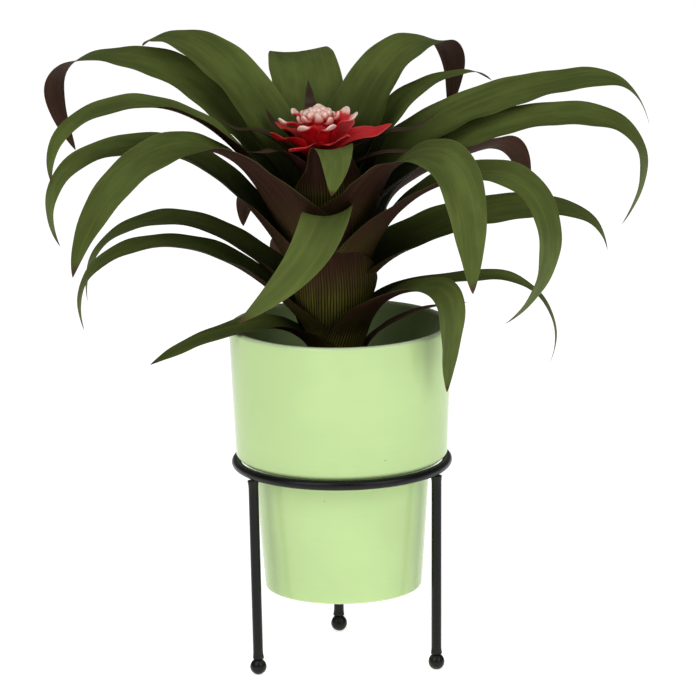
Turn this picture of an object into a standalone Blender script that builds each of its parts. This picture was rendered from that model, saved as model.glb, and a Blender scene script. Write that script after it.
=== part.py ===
"""Potted bromeliad: a rosette of arching strap leaves round a red flower head, growing in a
plastic nursery pot that sits in a stepped ceramic cover pot, which rests in a wire stand.

Metres, +Z up; the front is -Y. Everything is laid out round the axis of the stand and then slid
as a whole, so that the origin is on the floor under the middle of the object's box. Leaves grow
on the axis of a short stem that leans a little. Each leaf is laid out at azimuth zero in its own
plane, r outward and z up from the soil, and then turned round the stem.
"""
from math import asin, atan2, cos, pi, radians, sin, sqrt, tan

import bmesh
import bpy
import numpy as np
from mathutils import Vector

for item in list(bpy.data.objects):
    bpy.data.objects.remove(item, do_unlink=True)

MM = 0.001
TOUCH_GAP = 0.3 * MM            # left between pieces that rest on or in each other

# Wire stand: a ring, three legs and three ball feet
RING_RADIUS = 66.6 * MM         # to the middle of the rod
RING_ROD = 6.7 * MM
RING_HEIGHT = 130.2 * MM        # floor to the middle of the rod
LEG_ROD = 6.3 * MM
FOOT_CIRCLE_RADIUS = 65.1 * MM
FOOT_BALL = 10.7 * MM
FOOT_FLAT_RADIUS = 2.0 * MM     # worn flat under each ball
LEG_AZIMUTHS = {"front_left": 213.0, "front_right": 333.0, "back": 93.0}

# Cover pot: a wide upper part that narrows at a sloping step
POT_HEIGHT = 170.5 * MM
POT_LOWER_HEIGHT = 75.6 * MM        # base to the foot of the step
POT_RIM_RADIUS = 70.5 * MM
POT_UPPER_FOOT_RADIUS = 66.8 * MM   # bottom of the upper part, above the step
POT_LOWER_TOP_RADIUS = 55.3 * MM    # top of the lower part, under the step
POT_BASE_RADIUS = 49.5 * MM
POT_WALL = 4.8 * MM
POT_FLOOR = 5.5 * MM
POT_LIP_ROUND = 2.0 * MM
POT_BASE_ROUND = 2.5 * MM
STEP_ROUND = 3.0 * MM
STEP_SLOPE = 45.0               # degrees, and where it rests on the ring

# Nursery pot, wedged in the neck inside the cover pot
NURSERY_HEIGHT = 105.0 * MM
NURSERY_TOP_RADIUS = 58.5 * MM
NURSERY_BASE_RADIUS = 44.0 * MM
NURSERY_WALL = 1.0 * MM
NURSERY_LIP = 1.5 * MM
NURSERY_LIP_HEIGHT = 6.0 * MM
DRAIN_HOLE_RADIUS = 5.0 * MM
SOIL_BELOW_LIP = 9.3 * MM
SOIL_MOUND = 2.0 * MM           # the soil rises this much at the stem

# Stem
STEM_LEAN = 4.0                 # degrees, to the left
STEM_RADIUS = 9.0 * MM
STEM_BURIED = 26.0 * MM
STEM_TOP = 112.0 * MM           # above the soil
STALK_RADIUS = 5.0 * MM
HEAD_FOOT = 150.0 * MM          # foot of the flower head, above the soil
HEAD_HEIGHT = 30.0 * MM
HEAD_RADIUS = 9.5 * MM
HEAD_NECK_HEIGHT = 7.0 * MM     # where the head starts to widen
HEAD_SHOULDER_HEIGHT = 16.5 * MM    # where the dome of buds starts

# Leaves
SHEATH_PITCH = 67.0             # degrees above level, the same for every nested sheath
SHEATH_WRAP = 64.0              # degrees round the stem, each side of the midrib
LEAF_THICKNESS = 0.8 * MM
CHANNEL = 35.0                  # degrees the blade is folded up at each edge, near the sheath

# Facets
POT_SIDES = 40
RING_SIDES = 48
ROD_SIDES = 8
BLADE_STATIONS = 10             # along each blade
ACROSS = 4                      # across each leaf


# ---------------------------------------------------------------- small helpers

def material(name, colour, roughness, metallic=0.0):
    made = bpy.data.materials.new(name)
    made.use_nodes = True
    shader = made.node_tree.nodes["Principled BSDF"]
    shader.inputs["Base Color"].default_value = (*colour, 1.0)
    shader.inputs["Roughness"].default_value = roughness
    shader.inputs["Metallic"].default_value = metallic
    return made


def solid(name, vertices, faces, finish, parent=None, smooth_angle=40.0):
    """One closed mesh object, its faces turned outward and its round parts shaded smooth."""
    mesh = bpy.data.meshes.new(name)
    mesh.from_pydata([tuple(map(float, v)) for v in vertices], [], faces)
    shape = bmesh.new()
    shape.from_mesh(mesh)
    bmesh.ops.recalc_face_normals(shape, faces=shape.faces)
    if shape.calc_volume(signed=True) < 0:
        bmesh.ops.reverse_faces(shape, faces=shape.faces)
    shape.to_mesh(mesh)
    shape.free()
    mesh.materials.append(finish)
    mesh.shade_smooth()
    mesh.set_sharp_from_angle(angle=radians(smooth_angle))
    item = bpy.data.objects.new(name, mesh)
    bpy.context.collection.objects.link(item)
    item.parent = parent
    return item


def turned(name, profile, sides, finish, parent=None):
    """A profile of (radius, height) points turned round Z. Points on the axis become poles;
    a profile that never meets the axis is closed on itself, as for a tube or a ring."""
    angles = [2 * pi * k / sides for k in range(sides)]
    vertices, rings = [], []
    for radius, height in profile:
        if radius == 0:
            rings.append([len(vertices)] * sides)
            vertices.append((0, 0, height))
        else:
            rings.append([len(vertices) + k for k in range(sides)])
            vertices += [(radius * cos(a), radius * sin(a), height) for a in angles]
    on_axis = profile[0][0] == 0
    pairs = list(zip(rings, rings[1:] if on_axis else rings[1:] + rings[:1]))
    faces = []
    for low, high in pairs:
        for k in range(sides):
            m = (k + 1) % sides
            corners = [low[k], low[m], high[m], high[k]]
            faces.append(list(dict.fromkeys(corners)))
    return solid(name, vertices, faces, finish, parent)


def arc(centre, radius, start, end, steps):
    """Points on a circle in the profile plane, angles in degrees."""
    turns = [radians(start + (end - start) * k / steps) for k in range(steps + 1)]
    return [(centre[0] + radius * cos(a), centre[1] + radius * sin(a)) for a in turns]


def rounded(points, radii, steps=3):
    """The polyline with each inner corner replaced by an arc of the given radius."""
    out = [points[0]]
    for before, corner, after, radius in zip(points, points[1:], points[2:], radii):
        if radius == 0:
            out.append(corner)
            continue
        a = (Vector(before) - Vector(corner)).normalized()
        b = (Vector(after) - Vector(corner)).normalized()
        half = a.angle(b) / 2
        centre = Vector(corner) + (a + b).normalized() * radius / sin(half)
        first = Vector(corner) + a * radius / tan(half) - centre
        last = Vector(corner) + b * radius / tan(half) - centre
        begin = atan2(first.y, first.x)
        sweep = (atan2(last.y, last.x) - begin + pi) % (2 * pi) - pi
        for k in range(steps + 1):
            angle = begin + sweep * k / steps
            out.append((centre.x + radius * cos(angle), centre.y + radius * sin(angle)))
    return out + [points[-1]]


# ---------------------------------------------------------------- finishes

CERAMIC = material("pale_green_glaze", (0.62, 0.76, 0.44), 0.15)
BLACK_WIRE = material("satin_black_wire", (0.012, 0.014, 0.012), 0.45, 0.6)
NURSERY_PLASTIC = material("black_plastic", (0.02, 0.02, 0.02), 0.55)
PEAT = material("peat_soil", (0.035, 0.022, 0.014), 0.95)
LEAF_GREEN = material("leaf_green", (0.065, 0.105, 0.025), 0.45)
DRY_LEAF = material("dry_leaf", (0.16, 0.09, 0.04), 0.8)
MAROON = material("maroon_bract", (0.035, 0.018, 0.012), 0.5)
STEM_BROWN = material("stem_brown", (0.06, 0.04, 0.02), 0.8)
RED = material("red_bract", (0.35, 0.012, 0.02), 0.4)
BUD_PINK = material("bud_pink", (0.75, 0.45, 0.42), 0.4)


# ---------------------------------------------------------------- wire stand

def ring_profile():
    return arc((RING_RADIUS, RING_HEIGHT), RING_ROD / 2, 22.5, 337.5, ROD_SIDES - 1)


def foot_profile():
    """Half a ball with a small flat under it, standing on the floor."""
    radius = FOOT_BALL / 2
    flat_angle = asin(FOOT_FLAT_RADIUS / radius)
    middle = sqrt(radius ** 2 - FOOT_FLAT_RADIUS ** 2)
    start = -90 + flat_angle * 180 / pi
    return [(0, 0)] + arc((0, middle), radius, start, 90, 6)[:-1] + [(0, middle + radius)]


def build_stand():
    turned("stand_ring", ring_profile(), RING_SIDES, BLACK_WIRE)
    foot_top = foot_profile()[-1][1]
    leg_foot = foot_top + TOUCH_GAP
    leg_top = RING_HEIGHT - RING_ROD / 2 - TOUCH_GAP
    leg_lean = atan2(RING_RADIUS - FOOT_CIRCLE_RADIUS, leg_top - leg_foot)
    for place, azimuth in LEG_AZIMUTHS.items():
        leg_post = bpy.data.objects.new("leg_post_" + place, None)
        bpy.context.collection.objects.link(leg_post)
        leg_post.rotation_euler.z = radians(azimuth)
        foot = turned("stand_foot_" + place, foot_profile(), 12, BLACK_WIRE, leg_post)
        foot.location.x = FOOT_CIRCLE_RADIUS
        length = leg_top - leg_foot
        rod = [(0, 0), (LEG_ROD / 2, 0), (LEG_ROD / 2, length), (0, length)]
        leg = turned("stand_leg_" + place, rod, ROD_SIDES + 2, BLACK_WIRE, leg_post)
        leg.location = (FOOT_CIRCLE_RADIUS, 0, leg_foot)
        shear_top(leg, tan(leg_lean))


def shear_top(item, slope):
    """Leans a rod outward and keeps its two ends level."""
    for vertex in item.data.vertices:
        vertex.co.x += vertex.co.z * slope


# ---------------------------------------------------------------- pots and soil

def step_points():
    """Lower and upper corner of the outside step, tangent to the ring it rests on."""
    normal = radians(90 + STEP_SLOPE)
    reach = RING_ROD / 2 + TOUCH_GAP
    rest_r = RING_RADIUS + reach * cos(normal)
    rest_z = RING_HEIGHT + reach * sin(normal)
    rise = tan(radians(STEP_SLOPE))
    low = (POT_LOWER_TOP_RADIUS, rest_z + (POT_LOWER_TOP_RADIUS - rest_r) * rise)
    high = (POT_UPPER_FOOT_RADIUS, rest_z + (POT_UPPER_FOOT_RADIUS - rest_r) * rise)
    return low, high


STEP_LOW, STEP_HIGH = step_points()
POT_BASE_HEIGHT = STEP_LOW[1] - POT_LOWER_HEIGHT
POT_RIM_HEIGHT = POT_BASE_HEIGHT + POT_HEIGHT


def inner_neck():
    """The inside corner at the foot of the step: where the inner cone meets the lower wall."""
    slope = radians(STEP_SLOPE)
    cone = (STEP_LOW[0] - POT_WALL * sin(slope), STEP_LOW[1] + POT_WALL * cos(slope))
    radius = STEP_LOW[0] - POT_WALL
    return radius, cone[1] + (radius - cone[0]) * tan(slope)


NECK_RADIUS, NECK_HEIGHT = inner_neck()


def build_cover_pot():
    base, rim = POT_BASE_HEIGHT, POT_RIM_HEIGHT
    slope = radians(STEP_SLOPE)
    top_inner = (STEP_HIGH[0] - POT_WALL, STEP_HIGH[1] + POT_WALL * tan(slope / 2))
    path = [(0, base), (POT_BASE_RADIUS, base), STEP_LOW, STEP_HIGH, (POT_RIM_RADIUS, rim),
            (POT_RIM_RADIUS - POT_WALL, rim), top_inner, (NECK_RADIUS, NECK_HEIGHT),
            (POT_BASE_RADIUS - POT_WALL, base + POT_FLOOR), (0, base + POT_FLOOR)]
    lips = [POT_LIP_ROUND, POT_LIP_ROUND]
    radii = [POT_BASE_ROUND, STEP_ROUND, STEP_ROUND, *lips, STEP_ROUND, STEP_ROUND, POT_BASE_ROUND]
    turned("cover_pot", rounded(path, radii, 2), POT_SIDES, CERAMIC)


def nursery_rim_height():
    """The nursery pot slides down until its tapered side wedges in the neck."""
    taper = (NURSERY_TOP_RADIUS - NURSERY_BASE_RADIUS) / NURSERY_HEIGHT
    contact = NECK_RADIUS - 2 * TOUCH_GAP
    return NECK_HEIGHT + (NURSERY_TOP_RADIUS - contact) / taper


NURSERY_RIM_HEIGHT = nursery_rim_height()
SOIL_HEIGHT = NURSERY_RIM_HEIGHT - SOIL_BELOW_LIP


def build_nursery_pot():
    top, bottom = NURSERY_RIM_HEIGHT, NURSERY_RIM_HEIGHT - NURSERY_HEIGHT
    wall, lip = NURSERY_WALL, NURSERY_LIP
    profile = [(DRAIN_HOLE_RADIUS, bottom), (NURSERY_BASE_RADIUS, bottom),
               (NURSERY_TOP_RADIUS, top - NURSERY_LIP_HEIGHT),
               (NURSERY_TOP_RADIUS + lip, top - NURSERY_LIP_HEIGHT), (NURSERY_TOP_RADIUS + lip, top),
               (NURSERY_TOP_RADIUS - wall, top), (NURSERY_BASE_RADIUS - wall, bottom + wall),
               (DRAIN_HOLE_RADIUS, bottom + wall)]
    turned("nursery_pot", profile, POT_SIDES, NURSERY_PLASTIC)


def build_soil():
    taper = (NURSERY_TOP_RADIUS - NURSERY_BASE_RADIUS) / NURSERY_HEIGHT
    inside = NURSERY_WALL + TOUCH_GAP
    bottom = NURSERY_RIM_HEIGHT - NURSERY_HEIGHT + inside
    foot = NURSERY_BASE_RADIUS - inside
    top_radius = NURSERY_TOP_RADIUS - taper * SOIL_BELOW_LIP - inside
    mound = [(top_radius * share, SOIL_HEIGHT + SOIL_MOUND * (1 - share ** 2)) for share in (1, 0.7, 0.4, 0)]
    profile = [(0, bottom), (foot, bottom), *mound]
    soil = turned("soil", profile, POT_SIDES, PEAT)
    depth = STEM_BURIED + TOUCH_GAP
    radius = STEM_RADIUS + TOUCH_GAP
    hole = [(0, -depth), (radius, -depth), (radius, depth), (0, depth)]
    socket = turned("stem_socket", hole, 16, PEAT, PLANT)
    socket.hide_render = True
    socket.display_type = "WIRE"
    cut = soil.modifiers.new("stem_socket", "BOOLEAN")
    cut.object = socket
    cut.operation = "DIFFERENCE"
    cut.solver = "EXACT"


# ---------------------------------------------------------------- plant frame and stem

PLANT = bpy.data.objects.new("plant_frame", None)
bpy.context.collection.objects.link(PLANT)
PLANT.location.z = SOIL_HEIGHT
PLANT.rotation_euler.y = radians(-STEM_LEAN)


def build_stem():
    profile = [(0, -STEM_BURIED), (STEM_RADIUS * 0.7, -STEM_BURIED), (STEM_RADIUS, -STEM_BURIED / 2),
               (STEM_RADIUS, STEM_TOP), (0, STEM_TOP)]
    turned("stem", profile, 16, STEM_BROWN, PLANT)
    foot = STEM_TOP + TOUCH_GAP
    top = HEAD_FOOT - TOUCH_GAP
    stalk = [(0, foot), (STALK_RADIUS, foot), (STALK_RADIUS, top), (0, top)]
    turned("flower_stalk", stalk, 12, STEM_BROWN, PLANT)


def build_flower_head():
    """A turned pear: a narrow foot that widens to a dome of packed buds."""
    shoulder = HEAD_FOOT + HEAD_SHOULDER_HEIGHT
    dome_height = HEAD_HEIGHT - HEAD_SHOULDER_HEIGHT
    profile = [(0, HEAD_FOOT), (STALK_RADIUS, HEAD_FOOT), (STALK_RADIUS * 1.3, HEAD_FOOT + HEAD_NECK_HEIGHT),
               (HEAD_RADIUS * 0.9, shoulder - dome_height * 0.3)]
    for angle in (0, 30, 60):
        profile.append((HEAD_RADIUS * cos(radians(angle)), shoulder + dome_height * sin(radians(angle))))
    profile.append((0, HEAD_FOOT + HEAD_HEIGHT))
    turned("flower_head", profile, 16, BUD_PINK, PLANT)


# ---------------------------------------------------------------- leaf shape

def ease(x):
    """0 to 1 with a level start and end."""
    x = np.clip(x, 0, 1)
    return x * x * (3 - 2 * x)


def bezier(p0, p1, p2, p3, steps=40):
    t = np.linspace(0, 1, steps)[:, None]
    return (1 - t) ** 3 * p0 + 3 * (1 - t) ** 2 * t * p1 + 3 * (1 - t) * t ** 2 * p2 + t ** 3 * p3


def midrib(leaf):
    """The leaf's middle line in (r, z): a straight sheath up the nesting cone, a curve to the
    level crest, and a curve down to the tip, as points with their distance along the leaf."""
    pitch = radians(SHEATH_PITCH)
    along = np.array([cos(pitch), sin(pitch)])
    level = np.array([1.0, 0.0])
    dive = radians(leaf["dive"])
    falling = np.array([cos(dive), -sin(dive)])
    root = np.array([leaf["core"] + TOUCH_GAP + LEAF_THICKNESS / 2, leaf["root"] * MM])
    throat = root + along * leaf["sheath"] * MM
    crest, tip = np.array(leaf["crest"]) * MM, np.array(leaf["tip"]) * MM
    up, down = np.linalg.norm(crest - throat), np.linalg.norm(tip - crest)
    rising = bezier(throat, throat + along * up * leaf["rise"], crest - level * up * leaf["ease_in"], crest)
    drooping = bezier(crest, crest + level * down * leaf["arch"], tip - falling * down * leaf["fall"], tip)
    points = np.concatenate([[root], rising, drooping[1:]])
    steps = np.linalg.norm(np.diff(points, axis=0), axis=1)
    return points, np.concatenate([[0], np.cumsum(steps)])


def leaf_grid(leaf):
    """Points on the leaf's middle sheet, their normals and the half thickness there.

    The section of the sheath is an arc round the stem; over the first part of the blade it
    opens into a shallow channel. The blade may roll (tilt, twist) and swing sideways (sway)."""
    path, travel = midrib(leaf)
    length = travel[-1]
    sheath_share = leaf["sheath"] * MM / length
    t = np.array([0, sheath_share * 0.6, *np.linspace(sheath_share, 1, BLADE_STATIONS + 1)])
    r, z = np.interp(t * length, travel, path[:, 0]), np.interp(t * length, travel, path[:, 1])
    x = np.clip((t - sheath_share) / (1 - sheath_share), 0, 1)
    centre = np.stack([r, leaf["sway"] * MM * x ** 3, z], 1)
    fine = np.linspace(0, 1, 241)
    fine_x = np.clip((fine - sheath_share) / (1 - sheath_share), 0, 1)
    fine_centre = np.stack([np.interp(fine * length, travel, path[:, 0]), leaf["sway"] * MM * fine_x ** 3,
                            np.interp(fine * length, travel, path[:, 1])], 1)
    fine_tangent = np.gradient(fine_centre, axis=0)
    tangent = np.stack([np.interp(t, fine, fine_tangent[:, k]) for k in range(3)], 1)
    tangent /= np.linalg.norm(tangent, axis=1, keepdims=True)
    open_ = ease((t - sheath_share * 0.85) / 0.25)
    side = np.array([0, 1, 0]) - tangent[:, 1:2] * tangent
    side /= np.linalg.norm(side, axis=1, keepdims=True)
    normal = np.cross(tangent, side)
    normal = (1 - open_)[:, None] * np.array([-1, 0, 0]) + open_[:, None] * normal
    normal /= np.linalg.norm(normal, axis=1, keepdims=True)
    roll = radians(leaf["tilt"]) * ease(x / 0.35) + radians(leaf["twist"]) * ease((x - 0.45) / 0.55)
    turn_c, turn_s = np.cos(roll)[:, None], np.sin(roll)[:, None]
    side, normal = side * turn_c + normal * turn_s, normal * turn_c - side * turn_s
    half = leaf["width"] * MM / 2
    outline = np.clip(1 - x ** leaf["taper"], 0, 1) ** 0.8
    reach = (1 - open_) * np.minimum(radians(leaf["wrap"]) * r, half * 1.35) + open_ * half * outline
    reach = np.minimum(reach, radians(leaf["spread"]) * r)
    fold = radians(CHANNEL) * (1 - 0.8 * ease((x - 0.3) / 0.7))
    bend = ((1 - open_) / r + open_ * fold / half)[:, None]
    q = np.linspace(-1, 1, ACROSS + 1)
    angle = reach[:, None] * q * bend
    grid = (centre[:, None] + side[:, None] * (np.sin(angle) / bend)[..., None]
            + normal[:, None] * ((1 - np.cos(angle)) / bend)[..., None])
    grid_normal = -np.sin(angle)[..., None] * side[:, None] + np.cos(angle)[..., None] * normal[:, None]
    thick = LEAF_THICKNESS / 2 * np.sqrt(1 - q ** 2) * np.sqrt(np.clip(outline, 0, 1))[:, None]
    return grid, grid_normal, thick


def build_leaf(leaf, finish):
    """A closed blade: upper and lower faces meet along both edges and at the tip. Both sides of a
    cell are cut along the same diagonal, so that the thin blade keeps its thickness as it twists."""
    grid, normal, thick = leaf_grid(leaf)
    upper, lower = grid + normal * thick[..., None], grid - normal * thick[..., None]
    section = np.concatenate([upper, lower[:, -2:0:-1]], axis=1)[:-1]
    rows, around = section.shape[:2]
    vertices = list(section.reshape(-1, 3)) + [grid[-1, ACROSS // 2]]
    tip, last = len(vertices) - 1, (rows - 1) * around
    under = [-j % around for j in range(ACROSS)] + [ACROSS]
    cells = [(j, j + 1, 1) for j in range(ACROSS)] + [(under[j], under[j + 1], -1) for j in range(ACROSS)]
    faces = []
    for a, b, turn in cells:
        for i in range(rows - 1):
            here, there = i * around, (i + 1) * around
            faces += [[here + a, here + b, there + b][::turn], [here + a, there + b, there + a][::turn]]
        faces.append([last + a, last + b, tip][::turn])
    faces += [[j, j + 1, under[j + 1], under[j]] for j in range(1, ACROSS - 1)]
    faces += [[0, 1, under[1]], [ACROSS - 1, ACROSS, under[ACROSS - 1]]]
    item = solid(leaf["name"], vertices, faces, finish, PLANT, 60)
    item.rotation_euler.z = radians(leaf["azimuth"])
    return item


def leaf(name, azimuth, root, sheath, crest, tip, dive, width, **habit):
    """One leaf's growth. Millimetres and degrees: root is the height of its foot on the stem,
    crest and tip are (r, z), and dive is how steeply the tip points down."""
    usual = dict(tilt=0, twist=0, sway=0, rise=0.2, ease_in=0.45, arch=0.5, fall=0.4, taper=3.0,
                 wrap=SHEATH_WRAP, spread=180, core=STEM_RADIUS)
    return dict(usual, name=name, azimuth=azimuth, root=root, sheath=sheath, crest=crest, tip=tip,
                dive=dive, width=width) | habit


def over_rim(out, up):
    """A point (r, z) of a leaf that passes over the pot's rim, measured from the rim."""
    return POT_RIM_RADIUS / MM + out, (POT_RIM_HEIGHT - SOIL_HEIGHT) / MM + up


# From the lowest leaf to the highest. A leaf that starts higher on the stem also leaves its
# sheath higher, so that nested sheaths never cross.
LEAVES = [
    leaf("leaf_dry", 12, 3, 20, (72, 43), (86, 42), 20, 8, arch=0.3, fall=0.3),
    leaf("leaf_01", 200, 6, 22, over_rim(-18.5, 6), over_rim(54, -7), 22, 26, tilt=-10, arch=0.35, fall=0.35),
    leaf("leaf_02", 104, 9, 32, (88, 76), (138, 22), 85, 32),
    leaf("leaf_03", 322, 10, 30, over_rim(10, 28), over_rim(14, -38), 100, 30, tilt=6, arch=0.3, fall=0.47,
         spread=28),
    leaf("leaf_04", 6, 16, 32, (94, 60), over_rim(63, -40), 120, 16, tilt=15, arch=0.53),
    leaf("leaf_05", 180, 15, 28, (108, 100), (158, 48), 105, 30, tilt=-7, arch=0.6, rise=0.1, twist=-10),
    leaf("leaf_06", 281, 20, 52, (48, 119), (74, 65), 85, 36, sway=-74, spread=23),
    leaf("leaf_07", 172, 25, 32, (106, 112), (157, 62), 95, 30, tilt=-8, arch=0.47, rise=0.1, twist=-10),
    leaf("leaf_08", 78, 28, 36, (92, 100), (146, 46), 85, 30),
    leaf("leaf_09", 12, 32, 34, (122, 98), (179, 64), 85, 38, tilt=20, arch=0.55, fall=0.38),
    leaf("leaf_10", 122, 35, 38, (70, 116), (104, 88), 80, 32),
    leaf("leaf_11", 181, 41, 42, (120, 164), (168, 104), 115, 34, tilt=-14, arch=0.62, twist=-14),
    leaf("leaf_12", 335, 42, 44, (113, 137), (117, 42), 150, 36, tilt=10, arch=0.52, fall=0.58, spread=22),
    leaf("leaf_13", 40, 48, 46, (144, 127), (168, 92), 85, 32, tilt=-30, arch=0.45),
    leaf("leaf_14", 85, 53, 44, (98, 150), (150, 100), 85, 36),
    leaf("leaf_15", 216, 55, 44, (107, 172), (193, 108), 75, 46, tilt=-10, arch=0.4, fall=0.3),
    leaf("leaf_16", 314, 60, 46, (99, 156), (126, 72), 95, 42, tilt=10, arch=0.38, fall=0.38, spread=27),
    leaf("leaf_17", 10, 66, 44, (150, 155), (188, 81), 130, 34, tilt=20, arch=0.73, fall=0.56, twist=10,
         spread=28),
    leaf("leaf_18", 195, 69, 41, (125, 197), (173, 153), 100, 34, tilt=-5, arch=0.53, fall=0.38, twist=-14),
    leaf("leaf_19", 20, 77, 42, (180, 171), (222, 135), 80, 38, tilt=20),
    leaf("leaf_20", 153, 80, 41, (150, 209), (178, 148), 115, 42, tilt=-11, arch=0.84, twist=25, spread=18),
    leaf("leaf_21", 36, 86, 40, (108, 181), (137, 171), 40, 30),
    leaf("leaf_22", 284, 90, 40, (40, 159), (53, 133), 85, 34, sway=-8),
    leaf("leaf_23", 96, 94, 36, (100, 195), (140, 160), 80, 50),
    leaf("leaf_24", 142, 99, 32, (112, 218), (138, 211), 40, 44, tilt=-5, rise=0.1, ease_in=0.35, taper=5),
    leaf("leaf_25", 51, 104, 34, (108, 199), (130, 150), 120, 42, tilt=6, arch=0.75),
]

BRACT = dict(core=STALK_RADIUS, ease_in=0.3)
MAROON_BRACTS = [
    leaf("maroon_bract_1", 340, 115, 22, (52, 150), (80, 154), -5, 17, taper=1.6, **BRACT),
    leaf("maroon_bract_2", 215, 119, 20, (38, 158), (56, 161), -10, 20, taper=1.6, **BRACT),
    leaf("maroon_bract_3", 176, 123, 22, (44, 168), (63, 178), -35, 16, taper=1.6, **BRACT),
    leaf("maroon_bract_4", 0, 126, 20, (50, 160), (76, 170), -25, 20, taper=1.6, **BRACT),
    leaf("maroon_bract_5", 142, 130, 17, (30, 165), (42, 176), -50, 15, taper=1.6, **BRACT),
    leaf("maroon_bract_6", 97, 133, 16, (33, 174), (41, 189), -60, 16, taper=1.6, **BRACT),
]

# Two whorls of red bracts: azimuth, crest (r, z) and tip (r, z). Each is rolled a little, so that
# one edge lies over its neighbour's, and they stand steeper where tall leaves crowd the flower.
OUTER_RED = [(-2, (33, 160), (46, 165)), (49, (24, 164), (32, 168)), (101, (17, 169), (24, 174)),
             (152, (22, 164), (31, 169)), (201.5, (25, 162), (33, 168)), (247, (31, 159), (42, 162)),
             (296, (28, 161), (38, 166))]
INNER_RED = [(36.7, (18, 171), (24, 175)), (88, (16, 173), (21, 177)), (139.6, (16, 173), (21, 177)),
             (191, (19, 171), (25, 175)), (242.4, (18, 169), (23, 172)), (293.9, (17, 168), (22, 171)),
             (345.3, (19, 171), (26, 175))]
PETAL = dict(core=STALK_RADIUS, rise=0.3, ease_in=0.3, wrap=22, spread=25, tilt=9)


def build_red_bracts():
    for k, (azimuth, crest, tip) in enumerate(OUTER_RED):
        build_leaf(leaf("red_bract_outer_%d" % (k + 1), azimuth, 142, 5, crest, tip, -15, 18,
                        arch=0.3, taper=2.6, **PETAL), RED)
    for k, (azimuth, crest, tip) in enumerate(INNER_RED):
        build_leaf(leaf("red_bract_inner_%d" % (k + 1), azimuth, 151, 4, crest, tip, -40, 12,
                        taper=5.0, **PETAL), RED)


def centre_on_footprint():
    """Slides the whole object so that the origin is on the floor under the middle of its box."""
    bpy.context.view_layer.update()
    made = [item for item in bpy.data.objects if item.type == "MESH" and not item.hide_render]
    points = np.array([item.matrix_world @ v.co for item in made for v in item.data.vertices])
    middle = (points.min(axis=0) + points.max(axis=0)) / 2
    floor_frame = bpy.data.objects.new("floor_frame", None)
    bpy.context.collection.objects.link(floor_frame)
    for item in bpy.data.objects:
        if item.parent is None and item != floor_frame:
            item.parent = floor_frame
    floor_frame.location = (-middle[0], -middle[1], 0)


build_stand()
build_cover_pot()
build_nursery_pot()
build_soil()
build_stem()
build_flower_head()
for growth in LEAVES:
    build_leaf(growth, DRY_LEAF if growth["name"] == "leaf_dry" else LEAF_GREEN)
for growth in MAROON_BRACTS:
    build_leaf(growth, MAROON)
build_red_bracts()
centre_on_footprint()
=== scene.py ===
"""The looks of a potted bromeliad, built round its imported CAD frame.

Metres, +Z up, the front is -Y. Leaves, bracts and petals grow on the axis of a stem that leans a
little to the left; every one of them is laid out at azimuth zero in its own plane, r outward and
z up from the soil, and then turned round the stem.
"""

from math import atan2, cos, pi, radians, sin, tan

import bpy
import numpy as np
from bpy.props import FloatProperty, FloatVectorProperty, PointerProperty
from mathutils import Matrix, Vector


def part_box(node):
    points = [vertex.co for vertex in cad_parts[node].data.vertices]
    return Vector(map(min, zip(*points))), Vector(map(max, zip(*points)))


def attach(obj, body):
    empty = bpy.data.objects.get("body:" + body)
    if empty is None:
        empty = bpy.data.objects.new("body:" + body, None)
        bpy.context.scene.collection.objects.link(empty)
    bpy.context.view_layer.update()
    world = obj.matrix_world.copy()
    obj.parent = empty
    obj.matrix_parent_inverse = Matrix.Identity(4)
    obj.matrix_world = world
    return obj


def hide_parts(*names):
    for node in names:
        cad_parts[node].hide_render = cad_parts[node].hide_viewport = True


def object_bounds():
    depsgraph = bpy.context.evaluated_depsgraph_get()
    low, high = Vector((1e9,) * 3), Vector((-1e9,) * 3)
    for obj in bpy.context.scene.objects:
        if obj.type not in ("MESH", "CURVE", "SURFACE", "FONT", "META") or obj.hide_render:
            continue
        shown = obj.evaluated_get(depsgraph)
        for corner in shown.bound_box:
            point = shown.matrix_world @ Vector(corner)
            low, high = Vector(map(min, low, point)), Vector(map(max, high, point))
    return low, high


bl_info = {
    "name": "Potted Bromeliad",
    "version": (1, 0, 0),
    "blender": (4, 5, 0),
    "location": "3D View > Sidebar > Bromeliad",
    "description": "Leaves, flower, glazed pot, soil and wire stand of a potted bromeliad",
    "category": "Object",
}

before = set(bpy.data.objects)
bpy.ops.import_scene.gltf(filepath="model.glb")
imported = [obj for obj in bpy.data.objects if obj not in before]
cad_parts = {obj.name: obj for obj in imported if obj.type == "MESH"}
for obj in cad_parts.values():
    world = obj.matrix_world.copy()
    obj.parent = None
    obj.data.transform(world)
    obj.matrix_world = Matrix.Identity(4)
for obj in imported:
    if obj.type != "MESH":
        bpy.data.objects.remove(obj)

MM = 0.001
GAP = 0.3 * MM                      # between pieces that rest on each other
CAD_BOX = np.array([list(corner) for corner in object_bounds()])


def box_middle(node):
    low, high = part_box(node)
    return np.array((low + high) / 2)


def box_radius(node):
    low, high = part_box(node)
    return (high.x - low.x) / 2


STAND_AXIS = box_middle("stand_ring")[:2]
SOIL_BELOW_LIP = 9.3 * MM
SOIL_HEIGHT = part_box("nursery_pot")[1].z - SOIL_BELOW_LIP
STEM_LEAN = 4.0                     # degrees, to the left
STEM_RADIUS, STALK_RADIUS = 9.0 * MM, 5.0 * MM


# ---------------------------------------------------------------- user's settings

def colour(name, description, default):
    return FloatVectorProperty(name=name, description=description, default=default, size=3,
                               subtype="COLOR", min=0, max=1)


def length(name, description, default):
    return FloatProperty(name=name, description=description, default=default, unit="LENGTH",
                         subtype="DISTANCE", min=0, precision=4)


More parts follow.
